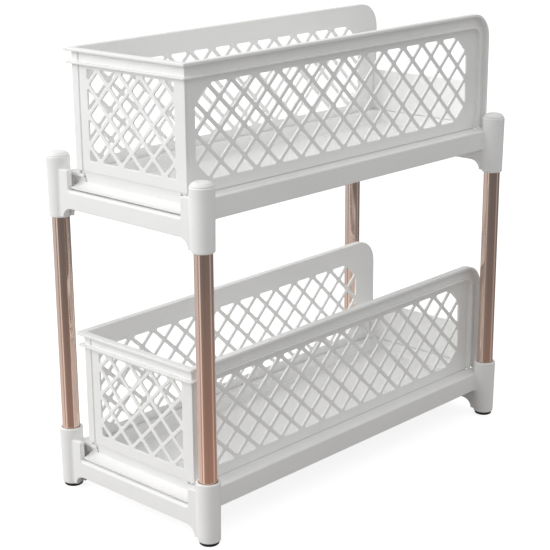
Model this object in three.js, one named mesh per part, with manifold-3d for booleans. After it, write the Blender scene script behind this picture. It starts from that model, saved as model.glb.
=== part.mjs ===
// Two-tier organiser rack. Two equal moulded frames stand one above the other on four metal
// tubes, and each frame carries a lattice-walled basket that slides out over its front end.
// Millimetres, +Z up. +Y is the front, the end the baskets pull out to and the one with the
// low wall. The origin is on the floor, under the middle of the rack.

import * as THREE from 'three';
import { mergeVertices } from 'three/addons/utils/BufferGeometryUtils.js';
import Module from 'manifold-3d';

const wasm = await Module();
wasm.setup();

// Posts
const POST_SPACING_X = 169;
const POST_SPACING_Y = 374;
const TIER_PITCH = 238;
const TUBE_OD = 15;
const TUBE_WALL = 1;

// Corner sockets, open at both ends with a web between the two bores
const SOCKET_HEIGHT = 51;
const SOCKET_TOP_OD = 20;
const SOCKET_BOTTOM_OD = 18.6;
const SOCKET_EDGE = 1;
const SOCKET_WEB = 2;
const BORE_CLEARANCE = 0.3;
const SEAT_GAP = 0.3;

// Rubber feet in the lowest bores, domed caps in the highest
const FOOT_OD = 16.4;
const FOOT_HEIGHT = 3;
const FOOT_EDGE = 1.4;
const FOOT_PLUG_LENGTH = 14;
const CAP_OD = 18.2;
const CAP_EDGE = 0.8;
const CAP_DOME = 1.6;
const CAP_PLUG_LENGTH = 12;
const PLUG_CLEARANCE = 0.3;

// Long rails of a frame. Heights are above the bottom of the sockets
const RAIL_INSET = 5;
const RAIL_WALL = 2.5;
const RAIL_BOTTOM = 21;
const LEDGE_TOP = 38.5;
const LEDGE_THICKNESS = 2.5;
const LEDGE_WIDTH = 22.5;
const LEDGE_END_INSET = 3.5;

// End beams of a frame: low channels, open below, that arch down into a leg at each socket, with
// guide plates above them at the rear and level corners at the front
const APRON_OUTSET = 6;
const APRON_DEPTH = 12;
const APRON_WALL = 3;
const APRON_BOTTOM = 9.5;
const APRON_TOP = 25;
const APRON_ROUND = 3.5;
const LEG_WIDTH = 11;
const ARCH_REACH = 9.7;
const ARCH_STEPS = 4;
const BLOCK_WIDTH = 18.2;
const BLOCK_DEPTH = 5;
const BLOCK_TOP = 41.5;

// Ribs that stop a basket when it is pulled out
const PULL_OUT = 240;
const STOP_THICKNESS = 3;
const STOP_HEIGHT = 9;
const STOP_CLEARANCE = 0.5;

// Basket walls
const BASKET_WIDTH = 130;
const BASKET_LENGTH = 380.5;
const BASKET_REAR_INSET = 3;
const PANEL_WALL = 2.6;
const PANEL_HEIGHT = 99;
const FRONT_HEIGHT = 39;
const FRONT_SETBACK = 3;
const CORNER_RADIUS = 22;
const GROOVE_OFFSET = 8.2;
const GROOVE_WIDTH = 1.6;
const GROOVE_DEPTH = 1.4;
const PANEL_GAP = 0.3;

// Ribs round the rim: a lip on the edge, a plain band, then a bead
const LIP_REACH = 5;
const LIP_THICKNESS = 2.6;
const BAND_WIDTH = 8.2;
const BEAD_REACH = 4;
const BEAD_THICKNESS = 1.6;

// Diamond lattice
const LATTICE_ROWS = 3;
const SIDE_COLUMNS = 13;
const REAR_COLUMNS = 4;
const LATTICE_BAR = 2.8;
const LATTICE_BOTTOM = 9.5;
const LATTICE_TOP = 15.5;
const SIDE_LATTICE_REAR = 13.5;
const SIDE_LATTICE_FRONT = 28;
const REAR_LATTICE_LEFT = 18;
const REAR_LATTICE_RIGHT = 12;

// Base tray: a pan that hangs between the rails from a flange that slides on the ledges
const SLIDE_GAP = 0.3;
const FLANGE_THICKNESS = 2.2;
const PAN_WALL = 2.2;
const PAN_FLOOR = 2.2;
const PAN_SIDE_CLEARANCE = 1;
const PAN_APRON_CLEARANCE = 2.4;
const PAN_FRONT_INSET = 6;
const PLATE_RAIL_CLEARANCE = 4;
const FLARE_REACH = 6;
const FLARE_HEIGHT = 4.4;
const FLARE_EDGE = 0.6;
const FLARE_CLEARANCE = 1.3;

// Tabs under the panels and the slots for them in the tray's flange
const TAB_LENGTH = 12;
const TAB_THICKNESS = 1.4;
const TAB_DEPTH = 1.8;
const TAB_CLEARANCE = 0.3;
const SIDE_TAB_COUNT = 4;
const END_TAB_COUNT = 2;

// Facets
const ROUND_SEGMENTS = 16;
const CORNER_SEGMENTS = 3;
const EDGE_SEGMENTS = 2;

const OVERLAP = 0.2;

// Places that several pieces share
const postX = POST_SPACING_X / 2;
const postY = POST_SPACING_Y / 2;
const boreRadius = TUBE_OD / 2 + BORE_CLEARANCE;
const boreDepth = (SOCKET_HEIGHT - SOCKET_WEB) / 2;
const railOuterX = postX - RAIL_INSET;
const railInnerX = railOuterX - RAIL_WALL;
const ledgeInnerX = railOuterX - LEDGE_WIDTH;
const ledgeEndY = postY - LEDGE_END_INSET;
const ledgeUnder = LEDGE_TOP - LEDGE_THICKNESS;
const apronOuterY = postY + APRON_OUTSET;
const apronInnerY = apronOuterY - APRON_DEPTH;
const legInnerX = postX - LEG_WIDTH;
const archX = legInnerX - ARCH_REACH;
const blockInnerX = postX - BLOCK_WIDTH;

const sideOuterX = BASKET_WIDTH / 2;
const sideInnerX = sideOuterX - PANEL_WALL;
const rearY = -(postY - BASKET_REAR_INSET);
const frontY = rearY + BASKET_LENGTH;
const rearInnerY = rearY + PANEL_WALL;
const frontPanelY = frontY - FRONT_SETBACK;
const flangeBottom = LEDGE_TOP + SLIDE_GAP;
const flangeTop = flangeBottom + FLANGE_THICKNESS;
const panelBottom = flangeTop + SEAT_GAP;
const panelTop = panelBottom + PANEL_HEIGHT;
const beadInset = LIP_THICKNESS + BAND_WIDTH;
const sideStartY = rearInnerY + PANEL_GAP;
const panX = ledgeInnerX - PAN_SIDE_CLEARANCE;
const panFrontY = frontY - PAN_FRONT_INSET;
const panBottom = APRON_TOP + PAN_APRON_CLEARANCE;
const plateX = railInnerX - PLATE_RAIL_CLEARANCE;
const plateInnerY = rearY + PAN_WALL;
const plateTop = ledgeUnder - SLIDE_GAP;
const flareX = blockInnerX - FLARE_CLEARANCE;

// A closed three.js geometry as a solid that can be joined and cut
function solid(geometry) {
  const bare = new THREE.BufferGeometry();
  bare.setAttribute('position', geometry.getAttribute('position'));
  if (geometry.index) bare.setIndex(geometry.index);
  const merged = mergeVertices(bare, 1e-4);
  return new wasm.Manifold(
    new wasm.Mesh({
      numProp: 3,
      vertProperties: new Float32Array(merged.attributes.position.array),
      triVerts: new Uint32Array(merged.index.array),
    }),
  );
}

function join(solids) {
  return solids.reduce((whole, piece) => whole.add(piece));
}

function cut(whole, tools) {
  return tools.reduce((rest, tool) => rest.subtract(tool), whole);
}

// A finished solid as a geometry with flat facets
function geometryOf(finished) {
  const mesh = finished.getMesh();
  const geometry = new THREE.BufferGeometry();
  geometry.setAttribute('position', new THREE.BufferAttribute(mesh.vertProperties, 3));
  geometry.setIndex(new THREE.BufferAttribute(mesh.triVerts, 1));
  return geometry;
}

// A box between two values on each axis, given in either order
function box([x0, x1], [y0, y1], [z0, z1]) {
  const geometry = new THREE.BoxGeometry(Math.abs(x1 - x0), Math.abs(y1 - y0), Math.abs(z1 - z0));
  geometry.translate((x0 + x1) / 2, (y0 + y1) / 2, (z0 + z1) / 2);
  return solid(geometry);
}

// A shape, or a list of them, drawn in X and Z and made thick along Y
function extrudeAlongY(shape, y0, y1) {
  const geometry = new THREE.ExtrudeGeometry(shape, {
    depth: Math.abs(y1 - y0),
    bevelEnabled: false,
    curveSegments: CORNER_SEGMENTS,
  });
  const drawn = new THREE.Matrix4().makeBasis(
    new THREE.Vector3(1, 0, 0),
    new THREE.Vector3(0, 0, 1),
    new THREE.Vector3(0, -1, 0),
  );
  geometry.applyMatrix4(drawn);
  geometry.translate(0, Math.max(y0, y1), 0);
  return solid(geometry);
}

// A shape, or a list of them, drawn in Y and Z and made thick along X
function extrudeAlongX(shape, x0, x1) {
  const geometry = new THREE.ExtrudeGeometry(shape, {
    depth: Math.abs(x1 - x0),
    bevelEnabled: false,
    curveSegments: CORNER_SEGMENTS,
  });
  const drawn = new THREE.Matrix4().makeBasis(
    new THREE.Vector3(0, 1, 0),
    new THREE.Vector3(0, 0, 1),
    new THREE.Vector3(1, 0, 0),
  );
  geometry.applyMatrix4(drawn);
  geometry.translate(Math.min(x0, x1), 0, 0);
  return solid(geometry);
}

// A profile of [radius, height] points, from the bottom up, turned round the Z axis
function turn(profile) {
  const points = profile.map(([radius, height]) => new THREE.Vector2(radius, height));
  const geometry = new THREE.LatheGeometry(points, ROUND_SEGMENTS);
  geometry.rotateX(Math.PI / 2);
  return geometry;
}

// Outside of one socket, slightly wider at the top, with both rims bevelled
function socketBody() {
  const low = SOCKET_BOTTOM_OD / 2;
  const high = SOCKET_TOP_OD / 2;
  const edge = SOCKET_EDGE;
  return solid(
    turn([
      [0, 0],
      [low - edge, 0],
      [low, edge],
      [high, SOCKET_HEIGHT - edge],
      [high - edge, SOCKET_HEIGHT],
      [0, SOCKET_HEIGHT],
    ]),
  );
}

function bore(bottom, top) {
  return solid(
    turn([
      [0, bottom],
      [boreRadius, bottom],
      [boreRadius, top],
      [0, top],
    ]),
  );
}

// End beam in X and Z: a straight bar with an arched corner down to the leg at each end
function endBeamShape() {
  const rise = APRON_BOTTOM - SOCKET_EDGE;
  const right = Array.from({ length: ARCH_STEPS + 1 }, (_, step) => {
    const angle = (Math.PI / 2) * (1 - step / ARCH_STEPS);
    return [archX + ARCH_REACH * Math.cos(angle), SOCKET_EDGE + rise * Math.sin(angle)];
  });
  right.push([postX, SOCKET_EDGE], [postX, APRON_TOP]);
  const left = right.map(([x, z]) => [-x, z]).reverse();
  return new THREE.Shape([...right, ...left].map(([x, z]) => new THREE.Vector2(x, z)));
}

// End beam's section in Y and Z, with its outer top edge rounded
function endBeamSection(end) {
  const round = Array.from({ length: EDGE_SEGMENTS + 1 }, (_, step) => {
    const angle = ((Math.PI / 2) * step) / EDGE_SEGMENTS;
    const out = APRON_ROUND * (1 - Math.cos(angle));
    const down = APRON_ROUND * (1 - Math.sin(angle));
    return [apronOuterY - out, APRON_TOP - down];
  });
  const points = [[apronInnerY, 0], [apronOuterY, 0], ...round, [apronInnerY, APRON_TOP]];
  return new THREE.Shape(points.map(([y, z]) => new THREE.Vector2(end * y, z)));
}

function rail(side) {
  const web = box([side * railInnerX, side * railOuterX], [-postY, postY], [RAIL_BOTTOM, LEDGE_TOP]);
  const ledgeSpan = [side * ledgeInnerX, side * railOuterX];
  const ledge = box(ledgeSpan, [-ledgeEndY, ledgeEndY], [ledgeUnder, LEDGE_TOP]);
  const stopY = plateInnerY + PULL_OUT + STOP_CLEARANCE;
  const stop = box(
    [side * (ledgeInnerX + PAN_SIDE_CLEARANCE), side * railOuterX],
    [stopY, stopY + STOP_THICKNESS],
    [ledgeUnder - STOP_HEIGHT, LEDGE_TOP],
  );
  return join([web, ledge, stop]);
}

function endBeam(end) {
  const outer = end * apronOuterY;
  const inner = end * apronInnerY;
  const drawn = extrudeAlongY(endBeamShape(), outer, inner);
  const rounded = drawn.intersect(extrudeAlongX(endBeamSection(end), -postX, postX));
  const channel = box(
    [-archX, archX],
    [outer - end * APRON_WALL, inner + end * APRON_WALL],
    [0, APRON_TOP - APRON_WALL],
  );
  const depth = end < 0 ? BLOCK_DEPTH : apronOuterY - ledgeEndY;
  const top = end < 0 ? BLOCK_TOP : LEDGE_TOP;
  const blocks = [-1, 1].map((side) =>
    box([side * blockInnerX, side * postX], [outer, outer - end * depth], [APRON_BOTTOM, top]),
  );
  return join([rounded.subtract(channel), ...blocks]);
}

// One frame, which serves both tiers: its bottom bores take feet or tubes, its top bores tubes or caps
function frameSolid() {
  const corners = [-1, 1].flatMap((x) => [-1, 1].map((y) => [x * postX, y * postY]));
  const sockets = corners.map(([x, y]) => socketBody().translate([x, y, 0]));
  const lower = bore(-OVERLAP, boreDepth);
  const upper = bore(SOCKET_HEIGHT - boreDepth, SOCKET_HEIGHT + OVERLAP);
  const bores = corners.flatMap(([x, y]) => [lower.translate([x, y, 0]), upper.translate([x, y, 0])]);
  return cut(join([...sockets, rail(-1), rail(1), endBeam(-1), endBeam(1)]), bores);
}

function tubeGeometry() {
  const outer = TUBE_OD / 2;
  const inner = outer - TUBE_WALL;
  const bottom = FOOT_HEIGHT + SOCKET_HEIGHT - boreDepth + SEAT_GAP;
  const top = FOOT_HEIGHT + TIER_PITCH + boreDepth - SEAT_GAP;
  return turn([
    [inner, bottom],
    [outer, bottom],
    [outer, top],
    [inner, top],
    [inner, bottom],
  ]);
}

// Foot: a bevelled rubber pad under the socket and a plug up into its bore
function footGeometry() {
  const pad = FOOT_OD / 2;
  const plug = boreRadius - PLUG_CLEARANCE;
  const seat = FOOT_HEIGHT - SEAT_GAP;
  return turn([
    [0, 0],
    [pad - FOOT_EDGE, 0],
    [pad, FOOT_EDGE],
    [pad, seat],
    [plug, seat],
    [plug, seat + FOOT_PLUG_LENGTH],
    [0, seat + FOOT_PLUG_LENGTH],
  ]);
}

// Cap: a plug down into the bore under a shallow dome that rests on the socket's rim
function capGeometry() {
  const rim = FOOT_HEIGHT + TIER_PITCH + SOCKET_HEIGHT + SEAT_GAP;
  const plug = boreRadius - PLUG_CLEARANCE;
  const outer = CAP_OD / 2;
  const domeRadius = (outer * outer + CAP_DOME * CAP_DOME) / (2 * CAP_DOME);
  const dome = Array.from({ length: EDGE_SEGMENTS + 1 }, (_, step) => {
    const radius = outer * (1 - step / EDGE_SEGMENTS);
    const rise = Math.sqrt(domeRadius * domeRadius - radius * radius) - (domeRadius - CAP_DOME);
    return [radius, rim + CAP_EDGE + rise];
  });
  const foot = rim - CAP_PLUG_LENGTH;
  return turn([[0, foot], [plug, foot], [plug, rim], [outer, rim], ...dome]);
}

// Diamond holes that fill a window, cut off straight at its sides. The half diamonds along the
// sides are open, and those in its corners are open only if asked for
function latticeHoles({ left, right, bottom, top, columns, openCorners }) {
  const halfWidth = (right - left) / columns / 2;
  const halfHeight = (top - bottom) / LATTICE_ROWS / 2;
  const reach = (halfWidth * halfHeight) / Math.hypot(halfWidth, halfHeight);
  const share = 1 - LATTICE_BAR / 2 / reach;
  const holeWidth = halfWidth * share;
  const holeHeight = halfHeight * share;
  const holes = [];
  for (let i = 0; i <= 2 * columns; i += 1) {
    for (let j = i % 2; j <= 2 * LATTICE_ROWS; j += 2) {
      const x = left + i * halfWidth;
      const y = bottom + j * halfHeight;
      const sides = { east: i < 2 * columns, north: j < 2 * LATTICE_ROWS, west: i > 0, south: j > 0 };
      const open = Object.values(sides).filter(Boolean).length;
      if (open === 2 && !openCorners) continue;
      const points = [];
      if (sides.east) points.push([x + holeWidth, y]);
      if (sides.north) points.push([x, y + holeHeight]);
      if (sides.west) points.push([x - holeWidth, y]);
      if (sides.south) points.push([x, y - holeHeight]);
      if (open === 2) points.push([x, y]);
      holes.push(points);
    }
  }
  return holes.map((points) => new THREE.Shape(points.map(([x, y]) => new THREE.Vector2(x, y))));
}

// A side panel's outline in Y and Z, set in from its top and front edges, which meet in a round
function sideOutline(startY, bottom, inset) {
  const radius = Math.max(CORNER_RADIUS - inset, OVERLAP);
  const front = frontY - inset;
  const top = panelTop - inset;
  const outline = new THREE.Shape();
  outline.moveTo(startY, bottom);
  outline.lineTo(front, bottom);
  outline.absarc(front - radius, top - radius, radius, 0, Math.PI / 2, false);
  outline.lineTo(startY, top);
  outline.closePath();
  return outline;
}

// A rib that follows a side panel's top and front edges, set in from them, down to its foot
function sideRib(side, inset, thickness, reach) {
  const span = [side * (sideOuterX - OVERLAP), side * (sideOuterX + reach)];
  const wide = [side * (sideOuterX - 2 * OVERLAP), side * (sideOuterX + reach + OVERLAP)];
  const outer = sideOutline(sideStartY, panelBottom, inset);
  const inner = sideOutline(sideStartY - OVERLAP, panelBottom - OVERLAP, inset + thickness);
  return extrudeAlongX(outer, ...span).subtract(extrudeAlongX(inner, ...wide));
}

// Places along a run for a number of tabs, each in the middle of an equal share of it
function tabPlaces(from, to, count) {
  return Array.from({ length: count }, (_, index) => from + ((to - from) * (index + 0.5)) / count);
}

function sideTabBoxes(side, clearance, bottom, top) {
  const inner = side * (sideInnerX - clearance);
  const outer = side * (sideInnerX + TAB_THICKNESS + clearance);
  const half = TAB_LENGTH / 2 + clearance;
  return tabPlaces(rearInnerY, frontPanelY, SIDE_TAB_COUNT).map((y) =>
    box([inner, outer], [y - half, y + half], [bottom, top]),
  );
}

function endTabBoxes(innerY, outward, clearance, bottom, top) {
  const inner = innerY - outward * clearance;
  const outer = innerY + outward * (TAB_THICKNESS + clearance);
  const half = TAB_LENGTH / 2 + clearance;
  return tabPlaces(-panX, panX, END_TAB_COUNT).map((x) =>
    box([x - half, x + half], [inner, outer], [bottom, top]),
  );
}

// Side panel with its lattice, lip, bead and tabs. It starts behind the rear panel
function sidePanelSolid(side) {
  const holes = latticeHoles({
    left: rearY + SIDE_LATTICE_REAR,
    right: frontY - SIDE_LATTICE_FRONT,
    bottom: panelBottom + LATTICE_BOTTOM,
    top: panelTop - LATTICE_TOP,
    columns: SIDE_COLUMNS,
    openCorners: false,
  });
  const lattice = extrudeAlongX(holes, side * (sideInnerX - OVERLAP), side * (sideOuterX + OVERLAP));
  const wall = extrudeAlongX(sideOutline(sideStartY, panelBottom, 0), side * sideInnerX, side * sideOuterX);
  return join([
    wall.subtract(lattice),
    sideRib(side, 0, LIP_THICKNESS, LIP_REACH),
    sideRib(side, beadInset, BEAD_THICKNESS, BEAD_REACH),
    ...sideTabBoxes(side, 0, panelBottom - TAB_DEPTH, panelBottom + OVERLAP),
  ]);
}

// A straight rib across the rear panel that turns both corners to meet the side panels' ribs
function rearRib(top, thickness, reach) {
  const outerX = sideOuterX + reach;
  const heights = [top - thickness, top];
  const ends = [-1, 1].map((side) =>
    box([side * (sideOuterX - OVERLAP), side * outerX], [rearY - reach, rearInnerY], heights),
  );
  return join([box([-outerX, outerX], [rearY - reach, rearY + OVERLAP], heights), ...ends]);
}

// Rear panel, full height, lapped over the ends of both side panels, with a groove near its left end
function rearPanelSolid() {
  const holes = latticeHoles({
    left: -sideOuterX + REAR_LATTICE_LEFT,
    right: sideOuterX - REAR_LATTICE_RIGHT,
    bottom: panelBottom + LATTICE_BOTTOM,
    top: panelTop - LATTICE_TOP,
    columns: REAR_COLUMNS,
    openCorners: true,
  });
  const wall = box([-sideOuterX, sideOuterX], [rearY, rearInnerY], [panelBottom, panelTop]);
  const grooveX = -sideOuterX + GROOVE_OFFSET;
  const groove = box(
    [grooveX - GROOVE_WIDTH / 2, grooveX + GROOVE_WIDTH / 2],
    [rearY - OVERLAP, rearY + GROOVE_DEPTH],
    [panelBottom - OVERLAP, panelTop - LIP_THICKNESS],
  );
  const lattice = extrudeAlongY(holes, rearY - OVERLAP, rearInnerY + OVERLAP);
  return join([
    cut(wall, [lattice, groove]),
    rearRib(panelTop, LIP_THICKNESS, LIP_REACH),
    rearRib(panelTop - beadInset, BEAD_THICKNESS, BEAD_REACH),
    ...endTabBoxes(rearInnerY, -1, 0, panelBottom - TAB_DEPTH, panelBottom + OVERLAP),
  ]);
}

// Low front panel, plain, between the side panels
function frontPanelSolid() {
  const reach = sideInnerX - PANEL_GAP;
  const inner = frontPanelY - PANEL_WALL;
  const wall = box([-reach, reach], [inner, frontPanelY], [panelBottom, panelBottom + FRONT_HEIGHT]);
  return join([wall, ...endTabBoxes(inner, 1, 0, panelBottom - TAB_DEPTH, panelBottom + OVERLAP)]);
}

// Flare in Y and Z: a finger grip that slopes down and out from the tray's rear
function flareShape() {
  const points = [
    [rearY + OVERLAP, panBottom],
    [rearY - FLARE_REACH, panBottom],
    [rearY - FLARE_REACH, panBottom + FLARE_EDGE],
    [rearY, panBottom + FLARE_HEIGHT],
    [rearY + OVERLAP, panBottom + FLARE_HEIGHT],
  ];
  return new THREE.Shape(points.map(([y, z]) => new THREE.Vector2(y, z)));
}

// Base tray: flange, hanging pan, and across its rear the flare and a plate whose ends run under the ledges
function trayBaseSolid() {
  const flange = box([-sideOuterX, sideOuterX], [rearY, frontY], [flangeBottom, flangeTop]);
  const pan = box([-panX, panX], [rearY, panFrontY], [panBottom, flangeTop]);
  const plate = box([-plateX, plateX], [rearY, plateInnerY], [panBottom, plateTop]);
  const flare = extrudeAlongX(flareShape(), -flareX, flareX);
  const inside = box(
    [-panX + PAN_WALL, panX - PAN_WALL],
    [plateInnerY, panFrontY - PAN_WALL],
    [panBottom + PAN_FLOOR, flangeTop + OVERLAP],
  );
  const slotSpan = [flangeBottom - OVERLAP, flangeTop + OVERLAP];
  const frontInnerY = frontPanelY - PANEL_WALL;
  return cut(join([flange, pan, plate, flare]), [
    inside,
    ...sideTabBoxes(-1, TAB_CLEARANCE, ...slotSpan),
    ...sideTabBoxes(1, TAB_CLEARANCE, ...slotSpan),
    ...endTabBoxes(rearInnerY, -1, TAB_CLEARANCE, ...slotSpan),
    ...endTabBoxes(frontInnerY, 1, TAB_CLEARANCE, ...slotSpan),
  ]);
}

function plasticMaterial() {
  return new THREE.MeshStandardMaterial({ color: 0xf2f2ef, roughness: 0.45, metalness: 0 });
}

function metalMaterial() {
  return new THREE.MeshStandardMaterial({ color: 0xb57d6a, roughness: 0.25, metalness: 1 });
}

function rubberMaterial() {
  return new THREE.MeshStandardMaterial({ color: 0x161616, roughness: 0.8, metalness: 0 });
}

function named(name, geometry, material) {
  const mesh = new THREE.Mesh(geometry, material);
  mesh.name = name;
  return mesh;
}

const frame = geometryOf(frameSolid());
const basket = {
  base: geometryOf(trayBaseSolid()),
  left_panel: geometryOf(sidePanelSolid(-1)),
  right_panel: geometryOf(sidePanelSolid(1)),
  rear_panel: geometryOf(rearPanelSolid()),
  front_panel: geometryOf(frontPanelSolid()),
};

// One tier: a frame and the basket on it, from the bottom of the frame's sockets
function tier(name, height) {
  const group = new THREE.Group();
  group.position.z = height;
  group.add(named(`${name}_frame`, frame, plasticMaterial()));
  for (const [piece, geometry] of Object.entries(basket)) {
    group.add(named(`${name}_basket_${piece}`, geometry, plasticMaterial()));
  }
  return group;
}

// One post: a tube between the two sockets of a corner, with a foot below and a cap above
function post(name, x, y) {
  const group = new THREE.Group();
  group.position.set(x, y, 0);
  group.add(named(`tube_${name}`, tubeGeometry(), metalMaterial()));
  group.add(named(`foot_${name}`, footGeometry(), rubberMaterial()));
  group.add(named(`cap_${name}`, capGeometry(), plasticMaterial()));
  return group;
}

const rack = new THREE.Group();
rack.name = 'organiser_rack';
rack.add(tier('lower', FOOT_HEIGHT));
rack.add(tier('upper', FOOT_HEIGHT + TIER_PITCH));
rack.add(post('rear_left', -postX, -postY));
rack.add(post('rear_right', postX, -postY));
rack.add(post('front_left', -postX, postY));
rack.add(post('front_right', postX, postY));

export default rack;
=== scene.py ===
"""Dresses the two-tier organiser rack: rounded mouldings, lattice baskets, rose metal posts and a stage."""

import math

import bmesh
import bpy
import numpy as np
from bpy.props import FloatProperty, FloatVectorProperty, IntProperty, PointerProperty
from mathutils import Matrix, Vector


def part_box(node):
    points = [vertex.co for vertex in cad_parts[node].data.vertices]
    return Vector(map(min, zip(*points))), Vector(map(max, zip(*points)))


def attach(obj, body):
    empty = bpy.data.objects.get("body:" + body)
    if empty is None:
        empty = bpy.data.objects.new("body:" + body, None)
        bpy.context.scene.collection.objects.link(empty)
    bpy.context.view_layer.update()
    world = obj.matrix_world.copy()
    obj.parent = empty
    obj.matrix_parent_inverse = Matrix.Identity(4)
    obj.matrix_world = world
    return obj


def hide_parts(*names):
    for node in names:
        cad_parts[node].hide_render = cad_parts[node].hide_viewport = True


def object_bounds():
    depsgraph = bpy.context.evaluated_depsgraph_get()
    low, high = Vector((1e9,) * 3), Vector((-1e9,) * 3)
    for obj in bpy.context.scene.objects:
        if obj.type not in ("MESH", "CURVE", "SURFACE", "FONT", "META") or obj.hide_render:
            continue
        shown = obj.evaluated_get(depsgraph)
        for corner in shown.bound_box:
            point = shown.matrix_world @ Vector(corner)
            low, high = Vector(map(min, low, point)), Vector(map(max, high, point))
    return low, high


bl_info = {
    "name": "Two-tier organiser rack",
    "version": (1, 0, 0),
    "blender": (4, 5, 0),
    "location": "View3D > Sidebar > Rack",
    "description": "Makes the rack's mouldings, posts and baskets, and a stage to show them on",
    "category": "Object",
}

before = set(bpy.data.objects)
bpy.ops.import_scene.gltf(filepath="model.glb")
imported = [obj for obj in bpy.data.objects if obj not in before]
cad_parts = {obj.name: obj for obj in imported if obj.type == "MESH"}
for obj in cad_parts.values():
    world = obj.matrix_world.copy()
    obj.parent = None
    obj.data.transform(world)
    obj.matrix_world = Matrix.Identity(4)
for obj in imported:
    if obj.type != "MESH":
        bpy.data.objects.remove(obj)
CAD_LOW, CAD_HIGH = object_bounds()


def middle_of(node):
    """The middle of a node's box."""
    low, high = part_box(node)
    return (Vector(low) + Vector(high)) / 2


MILLIMETRE = 0.001
# Points nearer than the weld become one, and faces that would coincide are set apart by the flush gap
WELD = 0.002 * MILLIMETRE
FLUSH = 0.05 * MILLIMETRE
# Clearance of a plug in its bore, and of a foot's pad under its socket
PUSH_FIT = 0.3 * MILLIMETRE
# Edges that turn by more than this stay sharp, and large faces outweigh small ones by this much
SHARP_TURN = math.radians(35)
FLAT_WEIGHT = 60
# Stretches of a noise pattern's values that its tones and its gloss are spread over
TONE_SPAN = (0.32, 0.68)
GLOSS_SPAN = (0.3, 0.7)

TIERS = ("lower", "upper")
CORNERS = ("rear_left", "rear_right", "front_left", "front_right")
LEVELS = {tier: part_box(f"{tier}_frame")[0][2] for tier in TIERS}
POSTS = {corner: middle_of(f"tube_{corner}") for corner in CORNERS}
POST_X = POSTS["front_right"][0]
POST_Y = POSTS["front_right"][1]

# Directions in plan, in degrees from +X, and how bright the studio is there
STUDIO = (
    (-180, 0.72),
    (-126, 0.74),
    (-116, 0.32),
    (-110, 0.32),
    (-104, 0.98),
    (-96, 0.98),
    (-85, 0.24),
    (-47, 0.19),
    (24, 0.20),
    (34, 0.50),
    (44, 0.50),
    (54, 0.20),
    (115, 0.25),
    (135, 0.60),
    (180, 0.72),
)


def length(name, description, millimetres):
    """A length in metres whose default is written in millimetres."""
    default = millimetres * MILLIMETRE
    return FloatProperty(name=name, description=description, default=default, unit="LENGTH", precision=4)


def number(name, description, value, least=0.0):
    """A plain number with its least value."""
    return FloatProperty(name=name, description=description, default=value, min=least)


def count(name, description, value):
    """A whole number of things."""
    return IntProperty(name=name, description=description, default=value, min=1)


def angle(name, description, degrees):
    """An angle in radians whose default is written in degrees."""
    return FloatProperty(name=name, description=description, default=math.radians(degrees), subtype="ANGLE")


def colour(name, description, value):
    """A colour in linear light."""
    return FloatVectorProperty(
        name=name, description=description, default=value, subtype="COLOR", size=3, min=0.0, max=1.0
    )


def spot(name, description, value):
    """A place in metres."""
    return FloatVectorProperty(
        name=name, description=description, default=value, subtype="TRANSLATION", size=3
    )


class FrameSizes(bpy.types.PropertyGroup):
    """Sizes of the moulded frames and the posts. Heights are above the bottom of the sockets."""

    tube_diameter: length("Tube diameter", "Outside of the metal tubes", 15)
    tube_wall: length("Tube wall", "Thickness of the tube's metal", 1)
    tube_ease: length("Tube ease", "Bevel on the edges of a tube's ends", 0.3)
    socket_height: length("Socket height", "Full height of a corner socket", 51)
    socket_top: length("Socket top", "Outside of a socket at its top", 20)
    socket_bottom: length("Socket bottom", "Outside of a socket at its bottom", 18.6)
    socket_round: length("Socket rounding", "Round on the outer edges of a socket", 1.1)
    socket_web: length("Socket web", "Floor between a socket's two bores", 2)
    bore: length("Bore", "Inside of a socket", 15.6)
    foot_diameter: length("Foot diameter", "Outside of a rubber foot", 16.4)
    foot_height: length("Foot height", "How far a foot stands below its socket", 3)
    foot_round: length("Foot rounding", "Round under a rubber foot", 1.65)
    cap_diameter: length("Cap diameter", "Outside of a cap", 18.4)
    cap_lift: length("Cap lift", "Gap between a socket's top and a cap's rim", 0.1)
    cap_ease: length("Cap ease", "Bevel under a cap's rim", 0.25)
    cap_edge: length("Cap edge", "Straight edge under a cap's dome", 0.6)
    cap_dome: length("Cap dome", "Rise of a cap's dome", 3.0)
    rail_inset: length("Rail inset", "From the middle of a post in to a rail's outer face", 5)
    rail_wall: length("Rail wall", "Thickness of a long rail", 2.5)
    rail_bottom: length("Rail bottom", "Lower edge of a long rail", 21)
    ledge_top: length("Ledge top", "Upper face of the ledge a basket slides on", 38.5)
    ledge_thickness: length("Ledge thickness", "Thickness of the ledge", 2.5)
    ledge_width: length("Ledge width", "From the rail's outer face in to the ledge's edge", 22.5)
    ledge_end: length("Ledge end", "From the middle of a post back to the ledge's end", 3.5)
    apron_outset: length("Apron outset", "From the middle of a post out to the end face", 6)
    apron_depth: length("Apron depth", "From an end beam's outer face to its inner face", 12)
    apron_wall: length("Apron wall", "Thickness of an end beam's top and inner wall", 3)
    apron_bottom: length("Apron bottom", "Lower edge of an end beam", 9.5)
    apron_top: length("Apron top", "Upper face of an end beam", 25)
    apron_round: length("Apron rounding", "Round on an end beam's outer top edge", 2.4)
    apron_fillet: length("Apron fillet", "Fillet between an end beam's top and what rises beside it", 2)
    leg_width: length("Leg width", "From the middle of a post to the leg's inner edge", 11)
    arch_reach: length("Arch reach", "Length of the arched corner beside a leg", 9.7)
    block_width: length("Block width", "From the middle of a post to a guide plate's inner edge", 18.2)
    block_depth: length("Block depth", "Thickness of a guide plate", 5)
    block_top: length("Block top", "Upper edge of a guide plate", 41.5)
    block_round: length("Block rounding", "Round on a guide plate's upper corner", 1.2)
    edge: length("Edge rounding", "Round on the moulding's edges", 0.9)
    blend: length("Blend", "Fillet between a socket and the walls that run into it", 4)


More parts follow.
